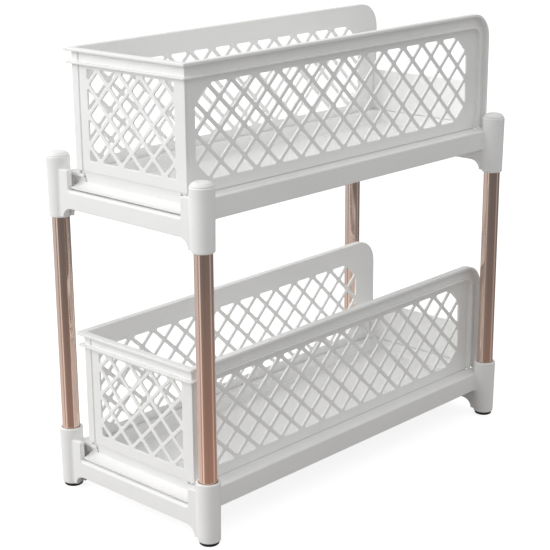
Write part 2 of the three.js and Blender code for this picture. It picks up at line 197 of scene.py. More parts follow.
class BasketSizes(bpy.types.PropertyGroup):
    """Sizes of a basket. Heights are above the bottom of the frame's sockets."""

    half_width: length("Half width", "From the middle to a side wall's outer face", 65)
    rear: length("Rear", "The rear wall's outer face", -184)
    front: length("Front", "Front ends of the side walls", 196.5)
    wall: length("Wall", "Thickness of the walls", 2.0)
    bottom: length("Wall bottom", "Lower edge of the walls", 41.3)
    top: length("Wall top", "Upper edge of the full-height walls", 140.3)
    top_rise: length("Top rise", "How much higher a side wall's top is at its front end", 4.3)
    front_top: length("Front top", "Upper edge of the low front wall", 80.3)
    front_setback: length("Front setback", "From the side walls' front ends back to the low wall", 3)
    front_round: length("Front rounding", "Round on the low wall's corners", 0.8)
    corner_round: length("Corner rounding", "Round where a side wall's top and front edges meet", 22)
    skirt_bottom: length("Skirt bottom", "Lower edge of the side walls, just above the ledges", 38.7)
    groove_offset: length("Groove offset", "From the rear wall's left end to its groove", 8.2)
    groove_width: length("Groove width", "Width of the groove", 1.6)
    groove_depth: length("Groove depth", "Depth of the groove", 1.1)
    lip_reach: length("Lip reach", "How far the rim's lip stands out", 5)
    lip_thickness: length("Lip thickness", "Thickness of the rim's lip", 2.6)
    lip_drop: length("Lip drop", "How far the lip's front end runs below the skirt", 1.2)
    band: length("Band", "Plain band between lip and bead", 8.2)
    bead_reach: length("Bead reach", "How far the bead stands out", 4)
    bead_thickness: length("Bead thickness", "Thickness of the bead", 1.6)
    rib_turn: length("Rib turn", "Round of the lip and bead at the rear corners, in plan", 1.8)
    rib_fillet: length("Rib fillet", "Fillet where the lip and bead leave the wall", 0.5)
    lattice_bar: length("Lattice bar", "Width of the lattice's bars", 3.3)
    lattice_bottom: length("Rear lattice, bottom", "From the rear wall's lower edge to its lattice", 9.5)
    lattice_top: length("Rear lattice, top", "From the rear wall's upper edge to its lattice", 15.5)
    side_lattice_bottom: length("Side lattice, bottom", "From the walls' lower edge to a side lattice", 7.2)
    side_lattice_top: length("Side lattice, top", "From a side wall's upper edge to its lattice", 18)
    side_lattice_rear: length("Side lattice, rear", "From the rear face to a side lattice", 10.5)
    side_lattice_front: length("Side lattice, front", "From a side wall's front end to its lattice", 28)
    rear_lattice_left: length("Rear lattice, left", "From the left side to the rear lattice", 18)
    rear_lattice_right: length("Rear lattice, right", "From the right side to the rear lattice", 12)
    lattice_rows: count("Lattice rows", "Whole diamonds from bottom to top", 3)
    side_columns: count("Side columns", "Whole diamonds along a side", 13)
    rear_columns: count("Rear columns", "Whole diamonds across the rear", 4)
    edge: length("Edge rounding", "Round on the walls' edges", 0.7)
    hole_round: length("Hole rounding", "Round in the corners of the diamonds", 0.9)
    flange_half_width: length("Flange half width", "From the middle to the flange's edge", 62.3)
    flange_bottom: length("Flange bottom", "Under face of the tray's flange", 38.8)
    flange_top: length("Flange top", "Upper face of the tray's flange", 41)
    flange_round: length("Flange rounding", "Round on the flange's corners", 2)
    pan_half_width: length("Pan half width", "From the middle to the pan's outer face", 56)
    pan_front: length("Pan front", "Front face of the pan", 190.5)
    pan_bottom: length("Pan bottom", "Under face of the pan", 27.4)
    pan_wall: length("Pan wall", "Thickness of the pan", 2.2)
    pan_round: length("Pan rounding", "Round on the pan's corners", 7)
    pan_turn: length("Pan turn", "Round between the pan's floor and its walls", 3)
    plate_half_width: length("Plate half width", "From the middle to an end of the tray's rear plate", 73)
    plate_top: length("Plate top", "Upper edge of the plate's ends, under the ledges", 35.7)
    recess: length("Recess", "How far the plate's top stands back under the rear wall", 1.2)
    lean: number("Lean", "How fast the plate runs in below the rear wall", 0.19)
    flare_half_width: length("Flare half width", "From the middle to an end of the flare", 65.9)
    flare_reach: length("Flare reach", "How far the flare stands out from the rear wall's face", 6)
    flare_top: length("Flare top", "Where the flare leaves the plate", 31.6)
    flare_bottom: length("Flare bottom", "Under face of the flare", 26.4)
    flare_edge: length("Flare edge", "Thickness of the flare's outer edge", 1.4)
    flare_start: angle("Flare start", "Where on its ellipse the flare's curve begins", 40)
    flare_ease: length("Flare ease", "Round on the flare's ends", 0.3)


class FinishSettings(bpy.types.PropertyGroup):
    """Colours and gloss of the three finishes."""

    plastic: colour("Plastic", "Colour of the moulded plastic", (0.95, 0.95, 0.94))
    plastic_shade: colour("Plastic shade", "Second tone in the plastic's flow marks", (0.92, 0.92, 0.91))
    metal: colour("Rose metal", "Colour of the tubes", (0.745, 0.59, 0.51))
    metal_shade: colour("Rose metal shade", "Second tone in the drawn metal", (0.69, 0.53, 0.455))
    rubber: colour("Rubber", "Colour of the feet", (0.012, 0.012, 0.013))
    plastic_roughness: number("Plastic roughness", "How matt the plastic is", 0.42)
    metal_roughness: number("Metal roughness", "How matt the metal is", 0.12)


class StageSettings(bpy.types.PropertyGroup):
    """Camera, lamps, light and floor."""

    camera_place: spot("Camera place", "Where the camera stands", (0.8406, -0.9132, 0.5352))
    camera_yaw: angle("Camera yaw", "Turn to the left", 43.22)
    camera_pitch: angle("Camera pitch", "Tilt down", 16.61)
    camera_roll: angle("Camera roll", "Lean of the picture", -0.38)
    focal_pixels: number("Focal length", "In pixels of the square picture", 1448.7)
    picture_side: count("Picture side", "Pixels along the square picture", 550)
    floor: colour("Floor", "Colour of the floor", (0.33, 0.33, 0.33))
    floor_lift: number("Floor lift", "Brightness added to the floor for the camera alone", 0.85)
    floor_reach: length("Floor reach", "From the middle to the floor's edges", 6000)
    key_place: spot("Key lamp place", "Where the large lamp at the rear stands", (-1.0, -2.0, 1.3))
    key_power: number("Key lamp", "Power of the large lamp at the rear", 27.0)
    side_place: spot("Side lamp place", "Where the lamp on the left stands", (-2.1, 0.0, 1.15))
    side_power: number("Side lamp", "Power of the lamp on the left", 11.0)
    lamp_side: length("Lamp side", "Width and height of the lamps", 1600)
    fill: number("Fill", "Strength of the light all round", 0.53)
    rise: number("Rise", "How much the light grows towards the ceiling", 0.34)
    glow: colour("Glow", "Warm light from below that the metal mirrors", (0.25, 0.11, 0.06))
    glow_start: number("Glow start", "Height of the direction at which the glow starts", -0.27, least=-1.0)
    glow_full: number("Glow full", "Height of the direction at which the glow is full", -0.42, least=-1.0)


def ring_quads(rows, columns):
    """Quads between neighbouring rows of a grid of points, with each row's last point joined to its first."""
    row, column = np.meshgrid(np.arange(rows - 1), np.arange(columns), indexing="ij")
    after = (column + 1) % columns
    start = row * columns
    end = start + columns
    return np.stack([start + column, start + after, end + after, end + column], axis=-1).reshape(-1, 4)


def shell(points, quads, caps=()):
    """A closed surface of points, quads and flat end caps, turned outwards.

    Its signed volume is the sum, over triangles, of a corner times the cross product of the other two. If
    that is negative, every face is reversed."""
    points = np.asarray(points, dtype=float).reshape(-1, 3)
    fans = [np.stack([np.full(len(cap) - 2, cap[0]), cap[1:-1], cap[2:]], axis=-1) for cap in caps]
    corners = points[np.concatenate([quads[:, [0, 1, 2]], quads[:, [0, 2, 3]], *fans])]
    volume = np.einsum("ij,ij->", corners[:, 0], np.cross(corners[:, 1], corners[:, 2]))
    if volume < 0:
        quads = quads[:, ::-1]
        caps = [cap[::-1] for cap in caps]
    return points, quads, list(caps)


def rectangle(left, right, bottom, top):
    """A rectangle's corners, counter-clockwise."""
    return [(left, bottom), (right, bottom), (right, top), (left, top)]


def arc(centre, radius, start, end, steps=4):
    """Points on a circle between two angles in degrees."""
    angles = np.radians(np.linspace(start, end, steps + 1))
    return np.asarray(centre) + radius * np.stack([np.cos(angles), np.sin(angles)], axis=-1)


def corner_arcs(corners, radius, steps):
    """Centres and directions of the arcs that round an outline's corners.

    Each side's outward normal is its direction turned by a right angle. A centre is the corner moved in by
    the radius from both of its sides, and the directions sweep from one side's normal to the next side's."""
    corners = np.asarray(corners, dtype=float)
    radius = np.broadcast_to(np.asarray(radius, dtype=float), (len(corners),))
    ahead = np.roll(corners, -1, axis=0) - corners
    ahead /= np.linalg.norm(ahead, axis=1, keepdims=True)
    normal_out = np.stack([ahead[:, 1], -ahead[:, 0]], axis=-1)
    normal_in = np.roll(normal_out, 1, axis=0)
    share = 1 + np.sum(normal_in * normal_out, axis=1)
    cross = normal_in[:, 0] * normal_out[:, 1] - normal_in[:, 1] * normal_out[:, 0]
    turn = np.arctan2(cross, share - 1)
    facing = np.sign(turn) * radius
    centres = corners - facing[:, None] * (normal_in + normal_out) / share[:, None]
    start = np.arctan2(normal_in[:, 1], normal_in[:, 0])
    angles = start[:, None] + turn[:, None] * np.linspace(0, 1, steps)
    directions = np.stack([np.cos(angles), np.sin(angles)], axis=-1)
    return centres, directions, facing


def round_outline(corners, radius, steps=6):
    """A closed outline whose corners are cut by arcs tangent to both sides, outward or inward as each corner
    turns."""
    centres, directions, facing = corner_arcs(corners, radius, steps)
    points = (centres[:, None] + facing[:, None, None] * directions).reshape(-1, 2)
    apart = np.linalg.norm(points - np.roll(points, 1, axis=0), axis=1) > WELD
    return points[apart]


def outward(outline):
    """The mitred outward normal at each point of a counter-clockwise outline: the sum of the normals of its
    two sides over one plus their dot product."""
    ahead = np.roll(outline, -1, axis=0) - outline
    ahead /= np.linalg.norm(ahead, axis=1, keepdims=True)
    after = np.stack([ahead[:, 1], -ahead[:, 0]], axis=-1)
    before = np.roll(after, 1, axis=0)
    return (after + before) / (1 + np.sum(after * before, axis=1, keepdims=True))


def edge_rows(thickness, front, back, steps=2):
    """Inset and depth of the rows that carry an outline from one face of a plate to the other, with a quarter
    round at each face. A round is one radius, or one for each point of the outline."""
    angles = np.linspace(0, np.pi / 2, steps + 1)[:, None]
    inset_share = 1 - np.sin(angles)
    depth_share = 1 - np.cos(angles)
    front = np.atleast_1d(front)[None]
    inset = np.broadcast_arrays(front * inset_share, back * inset_share[::-1])
    depth = np.broadcast_arrays(front * depth_share, thickness - back * depth_share[::-1])
    return np.concatenate(inset), np.concatenate(depth)


def carried(rows, place):
    """A closed section carried along a path, as an array of path steps by section points by 3. The ends are
    flat."""
    steps, around = rows.shape[:2]
    last = np.arange(around) + (steps - 1) * around
    return shell(place(rows), ring_quads(steps, around), [np.arange(around)[::-1], last])


def plate(outline, start, thickness, edge, place, front=None):
    """A flat moulding: its outline carried through its thickness, with both edges rounded and flat faces.

    place turns points (across, up, out) into the rack's frame. front, if given, is the front face's round."""
    inset, depth = edge_rows(thickness, edge if front is None else front, edge, 4)
    flat = outline[None] - inset[..., None] * outward(outline)[None]
    out = np.broadcast_to((start - depth)[..., None], (*flat.shape[:2], 1))
    return carried(np.concatenate([flat, out], axis=-1), place)


def turned(profile, centre, around=96):
    """A profile of (radius, height) points carried once round the upright line through the centre."""
    profile = np.asarray(profile, dtype=float)
    angles = np.linspace(0, 2 * np.pi, around, endpoint=False)
    ring = np.stack([np.cos(angles), np.sin(angles)], axis=-1)
    flat = profile[:, None, :1] * ring[None]
    height = np.broadcast_to(profile[:, None, 1:], (len(profile), around, 1))
    points = np.concatenate([flat, height], axis=-1) + np.asarray(centre, dtype=float)
    return shell(points, ring_quads(len(profile), around))


def side_place(side):
    """Maps (along, up, out) on a side wall: along is Y, up is Z and out is away from the middle."""
    return lambda points: np.stack([side * points[..., 2], points[..., 0], points[..., 1]], axis=-1)


def end_place(end):
    """Maps (across, up, out) on an end wall: across is X, up is Z and out is away from the middle."""
    return lambda points: np.stack([points[..., 0], end * points[..., 2], points[..., 1]], axis=-1)


def flat_place(points):
    """Keeps points as they are."""
    return points


def raised(piece, height):
    """A shell moved up by a height, or by one for each of its points."""
    points, quads, caps = piece
    lift = np.zeros_like(points)
    lift[:, 2] = height
    return points + lift, quads, caps


def new_material(name):
    """A node material with its shader joined to its output, and a node that gives coordinates."""
    material = bpy.data.materials.new(name)
    material.use_nodes = True
    nodes = material.node_tree.nodes
    nodes.clear()
    shader = nodes.new("ShaderNodeBsdfPrincipled")
    output = nodes.new("ShaderNodeOutputMaterial")
    place = nodes.new("ShaderNodeTexCoord")
    material.node_tree.links.new(shader.outputs["BSDF"], output.inputs["Surface"])
    return material, shader, place


def noise(material, place, scale, detail, stretch=(1, 1, 1)):
    """A noise pattern on object coordinates, with its size per metre and a stretch along each axis."""
    nodes = material.node_tree.nodes
    links = material.node_tree.links
    mapping = nodes.new("ShaderNodeMapping")
    mapping.inputs["Scale"].default_value = stretch
    pattern = nodes.new("ShaderNodeTexNoise")
    pattern.inputs["Scale"].default_value = scale
    pattern.inputs["Detail"].default_value = detail
    links.new(place.outputs["Object"], mapping.inputs["Vector"])
    links.new(mapping.outputs["Vector"], pattern.inputs["Vector"])
    return pattern


def add_gloss(material, shader, pattern, low, high):
    """A roughness that a pattern spreads between two values."""
    spread = material.node_tree.nodes.new("ShaderNodeMapRange")
    spread.inputs["From Min"].default_value = GLOSS_SPAN[0]
    spread.inputs["From Max"].default_value = GLOSS_SPAN[1]
    spread.inputs["To Min"].default_value = low
    spread.inputs["To Max"].default_value = high
    material.node_tree.links.new(pattern.outputs["Fac"], spread.inputs["Value"])
    material.node_tree.links.new(spread.outputs["Result"], shader.inputs["Roughness"])


def add_tones(material, shader, pattern, first, second):
    """A colour that a pattern mixes from two."""
    ramp = material.node_tree.nodes.new("ShaderNodeValToRGB")
    for element, position, tone in zip(ramp.color_ramp.elements, TONE_SPAN, (second, first)):
        element.position = position
        element.color = (*tone, 1)
    material.node_tree.links.new(pattern.outputs["Fac"], ramp.inputs["Fac"])
    material.node_tree.links.new(ramp.outputs["Color"], shader.inputs["Base Color"])


def add_bump(material, shader, pattern, strength, depth):
    """Small height differences from a pattern."""
    bump = material.node_tree.nodes.new("ShaderNodeBump")
    bump.inputs["Strength"].default_value = strength
    bump.inputs["Distance"].default_value = depth
    material.node_tree.links.new(pattern.outputs["Fac"], bump.inputs["Height"])
    material.node_tree.links.new(bump.outputs["Normal"], shader.inputs["Normal"])


def plastic_material(name, finish):
    """Satin moulded plastic: a fine grain in its surface and faint flow marks in its tone and gloss."""
    material, shader, place = new_material(name)
    flow = noise(material, place, scale=22, detail=4, stretch=(1, 0.5, 1.4))
    grain = noise(material, place, scale=2600, detail=2)
    rough = finish.plastic_roughness
    add_tones(material, shader, flow, finish.plastic, finish.plastic_shade)
    add_gloss(material, shader, flow, low=rough - 0.05, high=rough + 0.06)
    add_bump(material, shader, grain, strength=0.12, depth=0.05 * MILLIMETRE)
    shader.inputs["IOR"].default_value = 1.49
    return material


def metal_material(name, finish):
    """Drawn rose metal: fine streaks along the tube in its gloss and surface, and soft clouds of tone."""
    material, shader, place = new_material(name)
    streaks = noise(material, place, scale=700, detail=3, stretch=(1, 1, 0.012))
    cloud = noise(material, place, scale=30, detail=3, stretch=(1, 1, 0.4))
    rough = finish.metal_roughness
    add_tones(material, shader, cloud, finish.metal, finish.metal_shade)
    add_gloss(material, shader, streaks, low=rough - 0.05, high=rough + 0.07)
    add_bump(material, shader, streaks, strength=0.06, depth=0.03 * MILLIMETRE)
    shader.inputs["Metallic"].default_value = 1
    return material


def rubber_material(name, finish):
    """Matt black rubber with a fine pitted skin."""
    material, shader, place = new_material(name)
    pits = noise(material, place, scale=1800, detail=3)
    add_gloss(material, shader, pits, low=0.6, high=0.8)
    add_bump(material, shader, pits, strength=0.3, depth=0.1 * MILLIMETRE)
    shader.inputs["Base Color"].default_value = (*finish.rubber, 1)
    return material


FINISHES = {
    "plastic": ("Moulded plastic", plastic_material),
    "metal": ("Rose metal", metal_material),
    "rubber": ("Foot rubber", rubber_material),
}


def finish_of(slot):
    """The material of a slot, made the first time that a piece needs it."""
    name, maker = FINISHES[slot]
    return bpy.data.materials.get(name) or maker(name, bpy.context.scene.rack_finish)


def make_piece(name, shells, body, slot, node):
    """One object of several closed shells, which stands for a node. Doubled points are welded, sharp turns
    stay sharp, and weighted normals keep the flats flat beside their rounds."""
    points = np.concatenate([part[0] for part in shells])
    starts = np.cumsum([0] + [len(part[0]) for part in shells[:-1]])
    faces = []
    for start, (_, quads, caps) in zip(starts, shells):
        faces += (quads + start).tolist()
        faces += [(cap + start).tolist() for cap in caps]
    mesh = bpy.data.meshes.new(name)
    mesh.from_pydata(points.tolist(), [], faces)
    work = bmesh.new()
    work.from_mesh(mesh)
    bmesh.ops.remove_doubles(work, verts=work.verts, dist=WELD)
    work.to_mesh(mesh)
    work.free()
    mesh.validate()
    mesh.shade_smooth()
    mesh.set_sharp_from_angle(angle=SHARP_TURN)
    mesh.materials.append(finish_of(slot))
    piece = bpy.data.objects.new(name, mesh)
    bpy.context.scene.collection.objects.link(piece)
    normals = piece.modifiers.new("Flat faces", "WEIGHTED_NORMAL")
    normals.keep_sharp = True
    normals.weight = FLAT_WEIGHT
    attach(piece, body)
    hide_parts(node)


def socket_shell(sizes, corner):
    """A corner socket: a tapered sleeve with a web between its two bores, turned round its post's middle."""
    low = sizes.socket_bottom / 2
    high = sizes.socket_top / 2
    bore = sizes.bore / 2
    tall = sizes.socket_height
    edge = sizes.socket_round
    inner = edge / 2
    web_low = (tall - sizes.socket_web) / 2
    web_high = (tall + sizes.socket_web) / 2
    profile = np.concatenate(
        [
            [[0, web_low], [bore, web_low]],
            arc((bore + inner, inner), inner, 180, 270),
            arc((low - edge, edge), edge, 270, 360),
            arc((high - edge, tall - edge), edge, 0, 90),
            arc((bore + inner, tall - inner), inner, 90, 180),
            [[bore, web_high], [0, web_high]],
        ]
    )
    return turned(profile, (*corner, 0))


def socket_radius(sizes, height):
    """A socket's outer radius at a height."""
    share = height / sizes.socket_height
    return (sizes.socket_bottom * (1 - share) + sizes.socket_top * share) / 2


def blend_shell(sizes, corner, normal, along, offset, span):
    """A fillet between a flat wall and a socket, over a span of heights.

    In plan, the wall lies at an offset from the post's middle along its normal. A circle of the fillet's
    radius touches both: its centre is a radius out from the wall and a radius out from the socket. The arc
    between the two touching points is carried up the socket's taper, and closed inside the moulding."""
    fillet = sizes.blend
    sunk = 0.8 * MILLIMETRE
    heights = np.linspace(*span, 5)[:, None]
    radius = socket_radius(sizes, heights)
    reach = np.sqrt((radius + fillet) ** 2 - (offset + fillet) ** 2)
    end = np.arctan2(offset + fillet, reach) - np.pi
    angles = -np.pi / 2 + (end + np.pi / 2) * np.linspace(0, 1, 11)[None]
    side = reach + fillet * np.cos(angles)
    out = offset + fillet + fillet * np.sin(angles)
    inside_side = np.concatenate([side[:, -1:] - sunk, side[:, :1]], axis=1)
    inside_out = np.full_like(inside_side, offset - sunk)
    side = np.concatenate([side, inside_side], axis=1)[..., None]
    out = np.concatenate([out, inside_out], axis=1)[..., None]
    flat = np.asarray(corner) + side * np.asarray(along) + out * np.asarray(normal)
    height = np.broadcast_to(heights[..., None], (*flat.shape[:2], 1))
    return carried(np.concatenate([flat, height], axis=-1), flat_place)


def arch_corner(sizes):
    """Lower right corner of an end beam: a quarter ellipse from its level under edge to the leg's foot."""
    leg = POST_X - sizes.leg_width
    foot = sizes.socket_round
    angles = np.radians(np.linspace(90, 0, 9))
    across = leg - sizes.arch_reach * (1 - np.cos(angles))
    up = foot + (sizes.apron_bottom - foot) * np.sin(angles)
    return [(*point, 0) for point in np.stack([across, up], axis=-1)] + [(POST_X, foot, 0)]


def mirrored_outline(right):
    """A closed outline from the corners (across, up, radius) of its right half."""
    left = [(-across, up, radius) for across, up, radius in reversed(right)]
    corners = np.array(right + left)
    return round_outline(corners[:, :2], corners[:, 2])


def beam_shells(sizes, end):
    """An end beam: its face with the arched legs and a guide plate or level corner above each, its top and
    its inner wall, and at the front the fill behind the level corners.

    The round on the face's edge is wide along the beam's top, narrow elsewhere, and eases from one to the
    other up the corners beside the guide plates."""
    corner = POST_X - sizes.block_width
    top = sizes.block_top if end < 0 else sizes.ledge_top
    level = sizes.apron_top
    fillet = sizes.apron_fillet
    outer = POST_Y + sizes.apron_outset
    place = end_place(end)
    arch = arch_corner(sizes)
    post = [(POST_X, top, 0), (corner, top, sizes.block_round), (corner, level, fillet)]
    outline = mirrored_outline(arch + post)
    share = np.clip((level + fillet - outline[:, 1]) / fillet, 0, 1)
    on_top = (outline[:, 1] > level - FLUSH) & (np.abs(outline[:, 0]) < corner + FLUSH)
    wide = np.where(on_top, sizes.edge + (sizes.apron_round - sizes.edge) * share, sizes.edge)
    face = plate(outline, outer, sizes.block_depth, sizes.edge, place, wide)
    low = mirrored_outline(arch + [(POST_X, level - FLUSH, 0)])
    inner = outer - sizes.apron_depth + sizes.apron_wall
    back = plate(low, inner, sizes.apron_wall, sizes.edge, place)
    slab_outline = mirrored_outline([(POST_X, level - sizes.apron_wall, 0), (POST_X, level - FLUSH, 0)])
    slab_depth = sizes.apron_depth - sizes.apron_round - FLUSH
    slab = plate(slab_outline, outer - sizes.apron_round, slab_depth, FLUSH, place)
    if end < 0:
        return [face, back, slab]
    fills = []
    fill_depth = outer - (POST_Y - sizes.ledge_end) - sizes.edge
    for side in (-1, 1):
        left, right = sorted((side * (corner + FLUSH), side * POST_X))
        box = rectangle(left, right, sizes.apron_bottom + FLUSH, sizes.ledge_top - FLUSH)
        fills.append(plate(round_outline(box, sizes.edge), outer - sizes.edge, fill_depth, FLUSH, place))
    return [face, back, slab, *fills]


def rail_shell(sizes, side):
    """A long rail: an L of upright web and ledge with rounded edges, carried from end to end."""
    outer = POST_X - sizes.rail_inset
    inner = outer - sizes.rail_wall
    ledge = outer - sizes.ledge_width
    under = sizes.ledge_top - sizes.ledge_thickness
    corners = [
        (outer, sizes.rail_bottom),
        (outer, sizes.ledge_top),
        (ledge, sizes.ledge_top),
        (ledge, under),
        (inner, under),
        (inner, sizes.rail_bottom),
    ]
    edge = sizes.edge
    shoulder = 1.3 * edge
    fillet = 1.5 * edge
    outline = round_outline(corners, [edge, shoulder, edge, edge, fillet, edge])
    half = POST_Y - sizes.ledge_end + 2 * FLUSH
    ends = np.array([-half, half])[:, None]
    along, across, up = np.broadcast_arrays(ends, outline[None, :, 0], outline[None, :, 1])
    return carried(np.stack([along, up, across], axis=-1), side_place(side))


def frame_shells(sizes):
    """All the shells of one frame, from the bottom of its sockets."""
    shells = []
    rail_span = (sizes.rail_bottom + sizes.edge, sizes.ledge_top - sizes.edge)
    for end in (-1, 1):
        face_top = sizes.block_top if end < 0 else sizes.ledge_top
        face_span = (sizes.socket_round + sizes.edge, face_top - sizes.edge / 2)
        shells += beam_shells(sizes, end)
        for side in (-1, 1):
            corner = (side * POST_X, end * POST_Y)
            shells += [
                socket_shell(sizes, corner),
                blend_shell(sizes, corner, (0, end), (-side, 0), sizes.apron_outset, face_span),
                blend_shell(sizes, corner, (side, 0), (0, -end), -sizes.rail_inset, rail_span),
            ]
    return shells + [rail_shell(sizes, -1), rail_shell(sizes, 1)]


def tube_profile(sizes, low, high):
    """A thin-walled tube with bevelled ends."""
    outer = sizes.tube_diameter / 2
    inner = outer - sizes.tube_wall
    ease = sizes.tube_ease
    return [
        (inner, low + ease),
        (inner + ease, low),
        (outer - ease, low),
        (outer, low + ease),
        (outer, high - ease),
        (outer - ease, high),
        (inner + ease, high),
        (inner, high - ease),
        (inner, low + ease),
    ]


def foot_profile(sizes, high):
    """A rubber foot: a pad with a generous round below, and a plug up into the socket."""
    pad = sizes.foot_diameter / 2
    plug = sizes.bore / 2 - PUSH_FIT
    seat = sizes.foot_height - PUSH_FIT
    edge = sizes.foot_round
    sole = arc((pad - edge, edge), edge, 270, 360, 6)
    return np.concatenate([[[0, 0]], sole, [[pad, seat], [plug, seat], [plug, high], [0, high]]])


def cap_profile(sizes, low, rim):
    """A cap: a plug in the bore under a dome with steep flanks and a broad crown. The dome's height falls
    from its middle with the fifth power of the radius."""
    outer = sizes.cap_diameter / 2
    plug = sizes.bore / 2 - PUSH_FIT
    ease = sizes.cap_ease
    share = np.sin(np.linspace(np.pi / 2, 0, 18))
    crown = np.stack([outer * share, rim + sizes.cap_edge + sizes.cap_dome * (1 - share**5)], axis=-1)
    under = [[0, low], [plug, low], [plug, rim], [outer - ease, rim], [outer, rim + ease]]
    return np.concatenate([under, crown])


def lattice_kinds(width, height, margin, share, open_corners):
    """The kinds of lattice cell, each with its hole's corners, its own outline and the outline point that
    each hole corner's two halves run to. Cells at the window's edge take in the margin round it."""
    wide = width * share
    tall = height * share
    corner_hole = [(0, 0), (wide, 0), (0, tall)] if open_corners else None
    return {
        "whole": (
            [(wide, 0), (0, tall), (-wide, 0), (0, -tall)],
            [(width, 0), (0, height), (-width, 0), (0, -height)],
            [(0, 0), (1, 1), (2, 2), (3, 3)],
        ),
        "side": (
            [(0, -tall), (wide, 0), (0, tall)],
            [(-margin, -height), (0, -height), (width, 0), (0, height), (-margin, height)],
            [(0, 1), (2, 2), (3, 4)],
        ),
        "level": (
            [(-wide, 0), (wide, 0), (0, tall)],
            [(-width, -margin), (width, -margin), (width, 0), (0, height), (-width, 0)],
            [(4, 0), (1, 2), (3, 3)],
        ),
        "corner": (
            corner_hole,
            [(-margin, -margin), (width, -margin), (width, 0), (0, height), (-margin, height)],
            [(0, 0), (1, 2), (3, 4)],
        ),
    }


def wall_rows(sizes):
    """Inset and depth of the rows round a wall's edge or a hole in it."""
    inset, depth = edge_rows(sizes.wall, sizes.edge, sizes.edge)
    return inset[:, 0], depth[:, 0]


def lattice_patch(sizes, window, columns, open_corners, margin):
    """The diamond lattice of one window, and half the width and height of a diamond.

    Each cell is a grid: its outline on the front face, the rounded hole, the hole's wall, and its outline on
    the back. One cell of each kind is worked out, then set at all of its places at once. Points are
    (across, up, out), with the front face at zero. With each kind go the cells that are mirrored, and whether
    it has no hole."""
    left, right, bottom, top = window
    rows = sizes.lattice_rows
    width = (right - left) / columns / 2
    height = (top - bottom) / rows / 2
    reach = width * height / math.hypot(width, height)
    share = 1 - sizes.lattice_bar / 2 / reach
    arc_points = 2
    inset, depth = wall_rows(sizes)
    across, up = np.meshgrid(np.arange(2 * columns + 1), np.arange(2 * rows + 1), indexing="ij")
    chosen = (across + up) % 2 == 0
    at_side = (across == 0) | (across == 2 * columns)
    at_level = (up == 0) | (up == 2 * rows)
    sign_across = np.where(across == 2 * columns, -1, 1)
    sign_up = np.where(up == 2 * rows, -1, 1)
    groups = {
        "whole": chosen & ~at_side & ~at_level,
        "side": chosen & at_side & ~at_level,
        "level": chosen & at_level & ~at_side,
        "corner": chosen & at_side & at_level,
    }
    patches = []
    for kind, (hole, cell, owners) in lattice_kinds(width, height, margin, share, open_corners).items():
        picked = groups[kind]
        places = np.stack([left + across[picked] * width, bottom + up[picked] * height], axis=-1)
        signs = np.stack([sign_across[picked], sign_up[picked]], axis=-1)
        cell = np.array(cell)
        if hole is None:
            loops = np.stack([cell, cell])
            levels = np.array([0, -sizes.wall])
        else:
            centres, directions, _ = corner_arcs(hole, sizes.hole_round, arc_points)
            owner = np.repeat(np.array(owners), arc_points // 2, axis=1).reshape(-1)
            radii = sizes.hole_round + inset
            spread = radii[:, None, None, None] * directions[None]
            holes = (centres[None, :, None] + spread).reshape(len(radii), -1, 2)
            rim = cell[owner][None]
            loops = np.concatenate([rim, holes, rim])
            levels = np.concatenate([[0], -depth, [-sizes.wall]])
        flat = places[:, None, None] + signs[:, None, None] * loops[None]
        out = np.broadcast_to(levels[None, :, None, None], (*flat.shape[:3], 1))
        mirrored = signs[:, 0] * signs[:, 1] < 0
        patches.append((np.concatenate([flat, out], axis=-1), mirrored, hole is None))
    return patches, width, height


def patch_faces(patches):
    """Points, quads and flat faces of all the lattice cells. Mirrored cells have their faces reversed."""
    points, quads, flats = [], [], []
    start = 0
    for cells, mirrored, closed in patches:
        cell_count, rows, around = cells.shape[:3]
        firsts = start + np.arange(cell_count) * rows * around
        if closed:
            front = firsts[:, None] + np.arange(around)[None]
            back = front[:, ::-1] + around
            front = np.where(mirrored[:, None], front[:, ::-1], front)
            back = np.where(mirrored[:, None], back[:, ::-1], back)
            flats += list(front) + list(back)
        else:
            every = firsts[:, None, None] + ring_quads(rows, around)[None]
            every = np.where(mirrored[:, None, None], every[..., ::-1], every)
            quads.append(every.reshape(-1, 4))
        points.append(cells.reshape(-1, 3))
        start += cell_count * rows * around
    return np.concatenate(points), np.concatenate(quads), flats


def border_loop(box, meets_across, meets_up, corner):
    """A loop round a box, counter-clockwise from its lower left corner, with a point at each place where two
    lattice cells meet. corner holds the points of its upper right corner."""
    left, right, bottom, top = box

    def level(values, up):
        return np.stack([values, np.full(len(values), up)], axis=-1)

    def upright(values, across):
        return np.stack([np.full(len(values), across), values], axis=-1)

    return np.concatenate(
        [
            [(left, bottom)],
            level(meets_across, bottom),
            [(right, bottom)],
            upright(meets_up, right),
            corner,
            level(meets_across[::-1], top),
            [(left, top)],
            upright(meets_up[::-1], left),
        ]
    )


